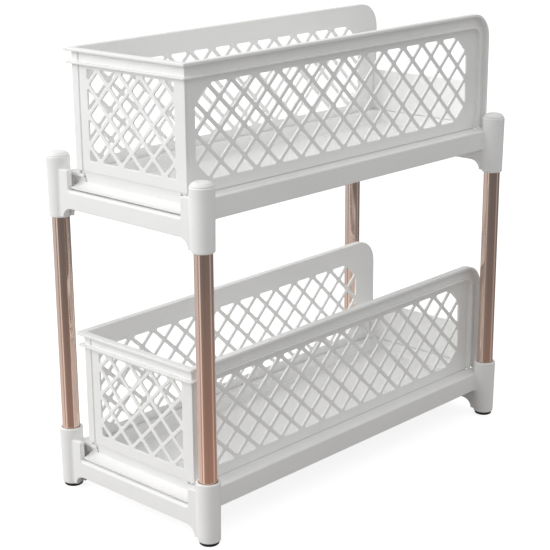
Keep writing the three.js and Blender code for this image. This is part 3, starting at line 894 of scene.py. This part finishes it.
def lattice_wall_shell(sizes, window, outline_box, corner_round, columns, open_corners, face, place):
    """A wall with a lattice window: the lattice cells, and a border carried from the window's back edge round
    the wall's rounded edge to the window's front edge.

    Each point on the window's edge where two cells meet runs straight out to the wall's edge. The wall's
    rounded corner fans in to the window's corner."""
    margin = sizes.lattice_bar / 2
    patches, width, height = lattice_patch(sizes, window, columns, open_corners, margin)
    points, quads, flats = patch_faces(patches)
    left, right, bottom, top = window
    meets_across = left + width * np.arange(1, 2 * columns, 2)
    meets_up = bottom + height * np.arange(1, 2 * sizes.lattice_rows, 2)
    fan_centre = (outline_box[1] - corner_round, outline_box[3] - corner_round)
    fan = arc(fan_centre, corner_round, 0, 90, 14)
    window_box = (left - margin, right + margin, bottom - margin, top + margin)
    window_corner = np.repeat([(window_box[1], window_box[3])], len(fan), axis=0)
    inner = border_loop(window_box, meets_across, meets_up, window_corner)
    outer = border_loop(outline_box, meets_across, meets_up, fan)
    inset, depth = wall_rows(sizes)
    edge = outer[None] - inset[::-1, None, None] * outward(outer)[None]
    loops = np.concatenate([inner[None], edge, inner[None]])
    levels = np.concatenate([[-sizes.wall], -depth[::-1], [0]])
    out = np.broadcast_to(levels[:, None, None], (*loops.shape[:2], 1))
    border = np.concatenate([loops, out], axis=-1)
    border_quads = ring_quads(len(loops), len(outer)) + len(points)
    points = np.concatenate([points, border.reshape(-1, 3)])
    points[:, 2] += face
    return shell(place(points), np.concatenate([quads, border_quads]), flats)


def rib_section(sizes, reach, thickness, root):
    """A rib's section as (out, inset) points: rounded at its tip, flared where it leaves the wall, and sunk
    in it. A root rib is level with the wall's own edge, so only its inner side is flared."""
    tip_share = 0.55
    tip = tip_share * min(thickness / 2, reach)
    flare = sizes.rib_fillet
    sunk = -0.9 * MILLIMETRE
    start = [[sunk, 0], [0, 0]] if root else [[sunk, -flare], *arc((flare, -flare), flare, 180, 90, 3)]
    return np.concatenate(
        [
            start,
            arc((reach - tip, tip), tip, -90, 0, 4),
            arc((reach - tip, thickness - tip), tip, 0, 90, 4),
            arc((flare, thickness + flare), flare, 270, 180, 3),
            [[sunk, thickness + flare]],
        ]
    )


def side_rib_shell(sizes, side, inset, thickness, reach, root):
    """A rib along a side wall's top and down its front edge.

    Every section point runs level, round an arc about the wall's corner centre, and down: a point set in from
    the edge by some amount has the corner's radius less that amount."""
    section = rib_section(sizes, reach, thickness, root)
    deep = inset + section[:, 1]
    lift = FLUSH if root else 0
    drop = sizes.lip_drop if root else 0
    radius = sizes.corner_round - deep
    centre_along = sizes.front - sizes.corner_round
    centre_up = sizes.top - sizes.corner_round + lift
    angles = np.radians(np.linspace(90, 0, 13))
    along = centre_along + radius[None] * np.cos(angles)[:, None]
    up = centre_up + radius[None] * np.sin(angles)[:, None]
    start = np.full((1, len(section)), sizes.rear + sizes.wall)
    level = (sizes.top + lift - deep)[None]
    foot = np.full((1, len(section)), sizes.skirt_bottom - drop)
    along = np.concatenate([start, along, along[-1:]])
    up = np.concatenate([level, up, foot])
    out = np.broadcast_to(sizes.half_width + section[None, :, 0], along.shape)
    return carried(np.stack([along, up, out], axis=-1), side_place(side))


def rear_rib_shell(sizes, top, thickness, reach, root):
    """A rib across the rear wall that turns both corners.

    In plan, a section point that stands out by some amount follows the wall's outline moved out by that
    amount. Its corner radius shrinks towards the wall and stays just above nothing."""
    section = rib_section(sizes, reach, thickness, root)
    lift = FLUSH if root else 0
    out = section[:, 0]
    radius = np.maximum(sizes.rib_turn - (reach - out), FLUSH)
    angles = np.radians(np.linspace(180, 270, 7))
    corner_across = -(sizes.half_width + out) + radius
    corner_back = sizes.rear - out + radius
    across = corner_across[None] + radius[None] * np.cos(angles)[:, None]
    back = corner_back[None] + radius[None] * np.sin(angles)[:, None]
    start_across = across[:1]
    start_back = np.full((1, len(section)), sizes.rear + sizes.wall)
    across = np.concatenate([start_across, across, -across[::-1], -start_across])
    back = np.concatenate([start_back, back, back[::-1], start_back])
    up = np.broadcast_to(top + lift - section[None, :, 1], across.shape)
    return carried(np.stack([across, back, up], axis=-1), flat_place)


def risen(sizes, piece):
    """A side wall's shell with its upper part lifted towards the front: the lift is the rise times the share
    of the length times the share of the height."""
    points = piece[0]
    along = np.clip((points[:, 1] - sizes.rear) / (sizes.front - sizes.rear), 0, 1)
    up = np.clip((points[:, 2] - sizes.skirt_bottom) / (sizes.top - sizes.skirt_bottom), 0, 1)
    return raised(piece, sizes.top_rise * along * up)


def side_wall_shells(sizes, side):
    """A side wall with its lattice, lip and bead."""
    window = (
        sizes.rear + sizes.side_lattice_rear,
        sizes.front - sizes.side_lattice_front,
        sizes.bottom + sizes.side_lattice_bottom,
        sizes.top - sizes.side_lattice_top,
    )
    box = (sizes.rear + sizes.wall, sizes.front, sizes.skirt_bottom, sizes.top)
    face = sizes.half_width
    columns = sizes.side_columns
    place = side_place(side)
    wall = lattice_wall_shell(sizes, window, box, sizes.corner_round, columns, False, face, place)
    lip = side_rib_shell(sizes, side, 0, sizes.lip_thickness, sizes.lip_reach, True)
    bead_inset = sizes.lip_thickness + sizes.band
    bead = side_rib_shell(sizes, side, bead_inset, sizes.bead_thickness, sizes.bead_reach, False)
    return [risen(sizes, part) for part in (wall, lip, bead)]


def rear_wall_shells(sizes):
    """The rear wall with its lattice, lip and bead. A groove parts a strip at its left end from the rest,
    with a thin web behind it."""
    window = (
        -sizes.half_width + sizes.rear_lattice_left,
        sizes.half_width - sizes.rear_lattice_right,
        sizes.bottom + sizes.lattice_bottom,
        sizes.top - sizes.lattice_top,
    )
    place = end_place(-1)
    face = -sizes.rear
    corner = 1.5 * sizes.edge
    overlap = MILLIMETRE
    groove = -sizes.half_width + sizes.groove_offset
    groove_right = groove + sizes.groove_width / 2
    groove_left = groove - sizes.groove_width / 2
    box = (groove_right, sizes.half_width, sizes.bottom, sizes.top)
    wall = lattice_wall_shell(sizes, window, box, corner, sizes.rear_columns, True, face, place)

    def upright(left, right, front, thickness):
        corners = rectangle(left, right, sizes.bottom, sizes.top)
        return plate(round_outline(corners, sizes.edge), front, thickness, sizes.edge / 2, place)

    strip = upright(-sizes.half_width, groove_left, face, sizes.wall)
    web_wall = sizes.wall - sizes.groove_depth - FLUSH
    web = upright(groove_left - overlap, groove_right + overlap, face - sizes.groove_depth, web_wall)
    lip = rear_rib_shell(sizes, sizes.top, sizes.lip_thickness, sizes.lip_reach, True)
    bead_top = sizes.top - sizes.lip_thickness - sizes.band
    bead = rear_rib_shell(sizes, bead_top, sizes.bead_thickness, sizes.bead_reach, False)
    return [wall, strip, web, lip, bead]


def front_wall_shells(sizes):
    """The low plain front wall."""
    half = sizes.half_width - sizes.wall
    outline = round_outline(rectangle(-half, half, sizes.bottom, sizes.front_top), sizes.front_round)
    return [plate(outline, sizes.front - sizes.front_setback, sizes.wall, sizes.edge, end_place(1))]


def loop_rows(low, high, radius, steps):
    """Level rounded rectangles between two corners, one for each (inset, height), with the same number of
    points whatever their radius."""
    rows = []
    for inset, height in steps:
        left, rear = low + inset
        right, front = high - inset
        centres, directions, facing = corner_arcs(rectangle(left, right, rear, front), radius, 7)
        flat = (centres[:, None] + facing[:, None, None] * directions).reshape(-1, 2)
        rows.append(np.concatenate([flat, np.full((len(flat), 1), height)], axis=-1))
    return rows


def plate_face(sizes, height):
    """Where the leaning face of the tray's rear plate stands at a height."""
    return sizes.rear + sizes.recess + sizes.lean * (sizes.bottom - height)


def pan_shell(sizes):
    """The pan and its flange.

    One closed surface: rounded rectangles in level rows, up the pan's outside, out under the flange, round
    its edge, in over its top, and down the pan's inside to the floor."""
    low = np.array([-sizes.pan_half_width, plate_face(sizes, sizes.pan_bottom) + FLUSH])
    high = np.array([sizes.pan_half_width, sizes.pan_front])
    flange_low = np.array([-sizes.flange_half_width, plate_face(sizes, sizes.flange_bottom) + sizes.edge])
    flange_high = np.array([sizes.flange_half_width, sizes.front])
    wall = sizes.pan_wall
    edge = sizes.edge
    turn = sizes.pan_turn
    floor = sizes.pan_bottom + wall
    outside = [*arc((turn, sizes.pan_bottom + turn), turn, 270, 180, 5), (0, sizes.flange_bottom)]
    rim = [
        *arc((edge, sizes.flange_bottom + edge), edge, 270, 180, 3),
        *arc((edge, sizes.flange_top - edge), edge, 180, 90, 3),
    ]
    inside = [
        *arc((wall - edge, sizes.flange_top - edge), edge, 90, 0, 4),
        *arc((wall + turn, floor + turn), turn, 180, 270, 5),
    ]
    rows = loop_rows(low, high, sizes.pan_round, outside)
    rows += loop_rows(flange_low, flange_high, sizes.flange_round, rim)
    rows += loop_rows(low, high, sizes.pan_round - wall, inside)
    return carried(np.stack(rows), flat_place)


def flare_shell(sizes):
    """The flare across the tray's rear.

    Its section (along, up) leaves the plate on a slope and flattens along part of an ellipse to its edge, and
    it is carried across the tray."""
    low = sizes.flare_bottom
    edge_up = low + sizes.flare_edge
    start = sizes.flare_start
    angles = np.linspace(start, np.pi / 2, 8)
    face = plate_face(sizes, sizes.flare_top)
    inner = face + sizes.pan_wall / 2
    tip = sizes.rear - sizes.flare_reach
    half = sizes.flare_half_width
    along = tip + (face - tip) * np.cos(angles) / math.cos(start)
    up = edge_up + (sizes.flare_top - edge_up) * (1 - np.sin(angles)) / (1 - math.sin(start))
    under = [(tip, low), (inner, low), (inner, sizes.flare_top)]
    outline = np.concatenate([np.stack([along, up], axis=-1), under])
    return plate(outline, half, 2 * half, sizes.flare_ease, side_place(1))


def tray_shells(sizes):
    """A base tray: the pan with its flange, and across its rear the plate and the flare. A parting line in
    the plate runs on from the rear wall's groove."""
    groove = -sizes.half_width + sizes.groove_offset
    groove_left = groove - sizes.groove_width / 2
    groove_right = groove + sizes.groove_width / 2
    right = sizes.plate_half_width
    low = sizes.pan_bottom
    high = sizes.plate_top
    hidden = sizes.bottom + sizes.edge
    step = sizes.pan_half_width
    left_part = rectangle(-right, groove_left, low, high)
    right_part = [
        (groove_right, low),
        (right, low),
        (right, high),
        (step, high),
        (step, hidden),
        (groove_right, hidden),
    ]
    shells = [pan_shell(sizes), flare_shell(sizes)]
    for corners in (left_part, right_part):
        outline = round_outline(corners, sizes.edge / 2)
        points, quads, caps = plate(outline, 0, sizes.pan_wall, sizes.edge / 2, end_place(-1))
        points[:, 1] += plate_face(sizes, points[:, 2])
        shells.append((points, quads, caps))
    return shells


class RACK_OT_make_frames(bpy.types.Operator):
    """Make the two moulded frames"""

    bl_idname = "rack.make_frames"
    bl_label = "Frames"

    def execute(self, context):
        parts = frame_shells(context.scene.rack_frame)
        for tier in TIERS:
            shells = [raised(part, LEVELS[tier]) for part in parts]
            make_piece(f"{tier}_frame_moulding", shells, "rack", "plastic", f"{tier}_frame")
        return {"FINISHED"}


class RACK_OT_make_posts(bpy.types.Operator):
    """Make the metal tubes, the caps above them and the rubber feet below"""

    bl_idname = "rack.make_posts"
    bl_label = "Posts"

    def execute(self, context):
        sizes = context.scene.rack_frame
        rim = LEVELS["upper"] + sizes.socket_height + sizes.cap_lift
        for corner in CORNERS:
            middle = (POSTS[corner][0], POSTS[corner][1], 0)
            tube_low, tube_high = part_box(f"tube_{corner}")
            foot_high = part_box(f"foot_{corner}")[1][2]
            cap_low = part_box(f"cap_{corner}")[0][2]
            pieces = (
                ("metal_tube", "metal", "tube", tube_profile(sizes, tube_low[2], tube_high[2])),
                ("rubber_foot", "rubber", "foot", foot_profile(sizes, foot_high)),
                ("domed_cap", "plastic", "cap", cap_profile(sizes, cap_low, rim)),
            )
            for name, slot, node, profile in pieces:
                make_piece(f"{name}_{corner}", [turned(profile, middle)], "rack", slot, f"{node}_{corner}")
        return {"FINISHED"}


class RACK_OT_make_walls(bpy.types.Operator):
    """Make the walls of both baskets"""

    bl_idname = "rack.make_walls"
    bl_label = "Basket walls"

    def execute(self, context):
        sizes = context.scene.rack_basket
        walls = {
            "left_panel": side_wall_shells(sizes, -1),
            "right_panel": side_wall_shells(sizes, 1),
            "rear_panel": rear_wall_shells(sizes),
            "front_panel": front_wall_shells(sizes),
        }
        for tier in TIERS:
            for wall, parts in walls.items():
                shells = [raised(part, LEVELS[tier]) for part in parts]
                node = f"{tier}_basket_{wall}"
                make_piece(f"{node}_moulding", shells, f"{tier}_basket", "plastic", node)
        return {"FINISHED"}


class RACK_OT_make_trays(bpy.types.Operator):
    """Make the base trays of both baskets"""

    bl_idname = "rack.make_trays"
    bl_label = "Basket trays"

    def execute(self, context):
        parts = tray_shells(context.scene.rack_basket)
        for tier in TIERS:
            basket = f"{tier}_basket"
            shells = [raised(part, LEVELS[tier]) for part in parts]
            make_piece(f"{basket}_tray", shells, basket, "plastic", f"{basket}_base")
        return {"FINISHED"}


def add_lamp(name, place, target, power, side):
    """A square lamp that faces a point."""
    data = bpy.data.lights.new(name, "AREA")
    data.energy = power
    data.shape = "SQUARE"
    data.size = side
    lamp = bpy.data.objects.new(name, data)
    bpy.context.scene.collection.objects.link(lamp)
    lamp.location = place
    lamp.rotation_mode = "QUATERNION"
    lamp.rotation_quaternion = (Vector(target) - Vector(place)).to_track_quat("-Z", "Y")


def add_camera(stage):
    """The camera at the photograph's place: yaw, pitch and roll turn its axes, and the focal length in pixels
    over the picture's side sets its lens."""
    yaw, pitch, roll = stage.camera_yaw, stage.camera_pitch, stage.camera_roll
    ahead = Vector((-math.sin(yaw) * math.cos(pitch), math.cos(yaw) * math.cos(pitch), -math.sin(pitch)))
    right = ahead.cross(Vector((0, 0, 1))).normalized()
    up = right.cross(ahead)
    leant_right = right * math.cos(roll) + up * math.sin(roll)
    leant_up = up * math.cos(roll) - right * math.sin(roll)
    data = bpy.data.cameras.new("Camera")
    data.lens = data.sensor_width * stage.focal_pixels / stage.picture_side
    camera = bpy.data.objects.new("Camera", data)
    bpy.context.scene.collection.objects.link(camera)
    turn = Matrix((leant_right, leant_up, -ahead)).transposed()
    camera.matrix_world = Matrix.Translation(stage.camera_place) @ turn.to_4x4()
    bpy.context.scene.camera = camera


def seen_ray(tree, *kinds):
    """One for the kinds of ray that are named, and nothing for the rest."""
    path = tree.nodes.new("ShaderNodeLightPath")
    total = path.outputs[kinds[0]]
    for kind in kinds[1:]:
        either = tree.nodes.new("ShaderNodeMath")
        either.operation = "MAXIMUM"
        tree.links.new(total, either.inputs[0])
        tree.links.new(path.outputs[kind], either.inputs[1])
        total = either.outputs["Value"]
    return total


def choose(tree, chooser, first, second):
    """The first value where the chooser is nothing, and the second where it is one."""
    mix = tree.nodes.new("ShaderNodeMix")
    tree.links.new(chooser, mix.inputs["Factor"])
    for value, name in ((first, "A"), (second, "B")):
        if isinstance(value, float):
            mix.inputs[name].default_value = value
        else:
            tree.links.new(value, mix.inputs[name])
    return mix.outputs["Result"]


def colour_mix(tree, chooser):
    """A mix of two colours by a chooser, with its node, its two colour inputs and its result."""
    mix = tree.nodes.new("ShaderNodeMix")
    mix.data_type = "RGBA"
    tree.links.new(chooser, mix.inputs["Factor"])
    first, second = (socket for socket in mix.inputs if socket.type == "RGBA")
    result = next(socket for socket in mix.outputs if socket.type == "RGBA")
    return mix, first, second, result


def looking(tree):
    """The direction that a ray of the world looks in, and its height."""
    place = tree.nodes.new("ShaderNodeTexCoord")
    apart = tree.nodes.new("ShaderNodeSeparateXYZ")
    tree.links.new(place.outputs["Generated"], apart.inputs["Vector"])
    return place.outputs["Generated"], apart.outputs["Z"]


def surround(tree, stage):
    """The studio that the metal mirrors: pale on the left, one bright strip, dim towards the camera and the
    right, and a warm glow that grows below the level. A radial gradient gives the direction in plan, and a
    ramp the brightness."""
    direction, height = looking(tree)
    gradient = tree.nodes.new("ShaderNodeTexGradient")
    gradient.gradient_type = "RADIAL"
    ramp = tree.nodes.new("ShaderNodeValToRGB")
    tree.links.new(direction, gradient.inputs["Vector"])
    tree.links.new(gradient.outputs["Fac"], ramp.inputs["Fac"])
    elements = ramp.color_ramp.elements
    while len(elements) > 1:
        elements.remove(elements[-1])
    for index, (degrees, value) in enumerate(STUDIO):
        position = degrees / 360 + 0.5
        element = elements[0] if index == 0 else elements.new(position)
        element.position = position
        element.color = (value, value, value, 1)
    below = tree.nodes.new("ShaderNodeMapRange")
    below.inputs["From Min"].default_value = stage.glow_start
    below.inputs["From Max"].default_value = stage.glow_full
    tree.links.new(height, below.inputs["Value"])
    mix, first, second, result = colour_mix(tree, below.outputs["Result"])
    mix.blend_type = "ADD"
    tree.links.new(ramp.outputs["Color"], first)
    second.default_value = (*stage.glow, 1)
    return result


def even_light(tree, stage):
    """Soft light for the surfaces: a base, plus a share of the direction's height above the floor."""
    _, height = looking(tree)
    above = tree.nodes.new("ShaderNodeMath")
    above.operation = "MAXIMUM"
    above.inputs[1].default_value = 0
    total = tree.nodes.new("ShaderNodeMath")
    total.operation = "MULTIPLY_ADD"
    total.inputs[1].default_value = stage.rise
    total.inputs[2].default_value = stage.fill
    tree.links.new(height, above.inputs[0])
    tree.links.new(above.outputs["Value"], total.inputs[0])
    return total.outputs["Value"]


def add_floor(stage):
    """A wide level floor, lifted to white for the camera, that keeps the object's soft shadow and is open to
    mirrors."""
    reach = stage.floor_reach
    corners = [(*corner, 0) for corner in rectangle(-reach, reach, -reach, reach)]
    mesh = bpy.data.meshes.new("floor")
    mesh.from_pydata(corners, [], [(0, 1, 2, 3)])
    floor = bpy.data.objects.new("floor", mesh)
    bpy.context.scene.collection.objects.link(floor)
    material, shader, _ = new_material("Floor")
    shader.inputs["Base Color"].default_value = (*stage.floor, 1)
    shader.inputs["Roughness"].default_value = 0.9
    shader.inputs["Emission Color"].default_value = (1, 1, 1, 1)
    tree = material.node_tree
    camera_ray = seen_ray(tree, "Is Camera Ray", "Is Transmission Ray")
    tree.links.new(choose(tree, camera_ray, 0.0, stage.floor_lift), shader.inputs["Emission Strength"])
    open_floor = tree.nodes.new("ShaderNodeBsdfTransparent")
    mirrored = tree.nodes.new("ShaderNodeMixShader")
    tree.links.new(seen_ray(tree, "Is Glossy Ray"), mirrored.inputs["Fac"])
    tree.links.new(shader.outputs["BSDF"], mirrored.inputs[1])
    tree.links.new(open_floor.outputs["BSDF"], mirrored.inputs[2])
    tree.links.new(mirrored.outputs["Shader"], tree.nodes["Material Output"].inputs["Surface"])
    mesh.materials.append(material)


def add_world(stage):
    """Light from all round: white to the camera, the studio to mirrors, and the soft light to everything
    else."""
    world = bpy.data.worlds.new("Even light")
    world.use_nodes = True
    bpy.context.scene.world = world
    tree = world.node_tree
    background = tree.nodes["Background"]
    _, white, studio, tint = colour_mix(tree, seen_ray(tree, "Is Glossy Ray"))
    white.default_value = (1, 1, 1, 1)
    tree.links.new(surround(tree, stage), studio)
    tree.links.new(tint, background.inputs["Color"])
    plain = seen_ray(tree, "Is Camera Ray", "Is Transmission Ray", "Is Glossy Ray")
    tree.links.new(choose(tree, plain, even_light(tree, stage), 1.0), background.inputs["Strength"])


class RACK_OT_make_stage(bpy.types.Operator):
    """Make the floor, lamps, even light and camera"""

    bl_idname = "rack.make_stage"
    bl_label = "Stage"

    def execute(self, context):
        stage = context.scene.rack_stage
        context.scene.view_settings.view_transform = "Standard"
        add_floor(stage)
        add_world(stage)
        middle = (0, 0, (CAD_LOW[2] + CAD_HIGH[2]) / 2)
        add_lamp("Key", stage.key_place, middle, stage.key_power, stage.lamp_side)
        add_lamp("Side", stage.side_place, middle, stage.side_power, stage.lamp_side)
        add_camera(stage)
        return {"FINISHED"}


class RACK_PT_sidebar(bpy.types.Panel):
    """Lists the makers and the sizes and colours they use"""

    bl_idname = "RACK_PT_sidebar"
    bl_label = "Organiser rack"
    bl_space_type = "VIEW_3D"
    bl_region_type = "UI"
    bl_category = "Rack"

    def draw(self, context):
        for operator in OPERATORS:
            self.layout.operator(operator.bl_idname)
        for title, group in (
            ("Frames and posts", context.scene.rack_frame),
            ("Baskets", context.scene.rack_basket),
            ("Finishes", context.scene.rack_finish),
            ("Stage", context.scene.rack_stage),
        ):
            box = self.layout.box()
            box.label(text=title)
            for name in group.__annotations__:
                box.prop(group, name)


GROUPS = {
    "rack_frame": FrameSizes,
    "rack_basket": BasketSizes,
    "rack_finish": FinishSettings,
    "rack_stage": StageSettings,
}
OPERATORS = (
    RACK_OT_make_frames,
    RACK_OT_make_posts,
    RACK_OT_make_walls,
    RACK_OT_make_trays,
    RACK_OT_make_stage,
)


def register():
    """Makes the settings, operators and panel known to Blender."""
    for name, group in GROUPS.items():
        bpy.utils.register_class(group)
        setattr(bpy.types.Scene, name, PointerProperty(type=group))
    for item in (*OPERATORS, RACK_PT_sidebar):
        bpy.utils.register_class(item)


def unregister():
    """Takes them back out."""
    for item in (RACK_PT_sidebar, *reversed(OPERATORS)):
        bpy.utils.unregister_class(item)
    for name, group in reversed(GROUPS.items()):
        delattr(bpy.types.Scene, name)
        bpy.utils.unregister_class(group)


def main():
    """Makes every piece and the stage."""
    register()
    bpy.ops.rack.make_frames()
    bpy.ops.rack.make_posts()
    bpy.ops.rack.make_walls()
    bpy.ops.rack.make_trays()
    bpy.ops.rack.make_stage()


if __name__ == "__main__":
    main()
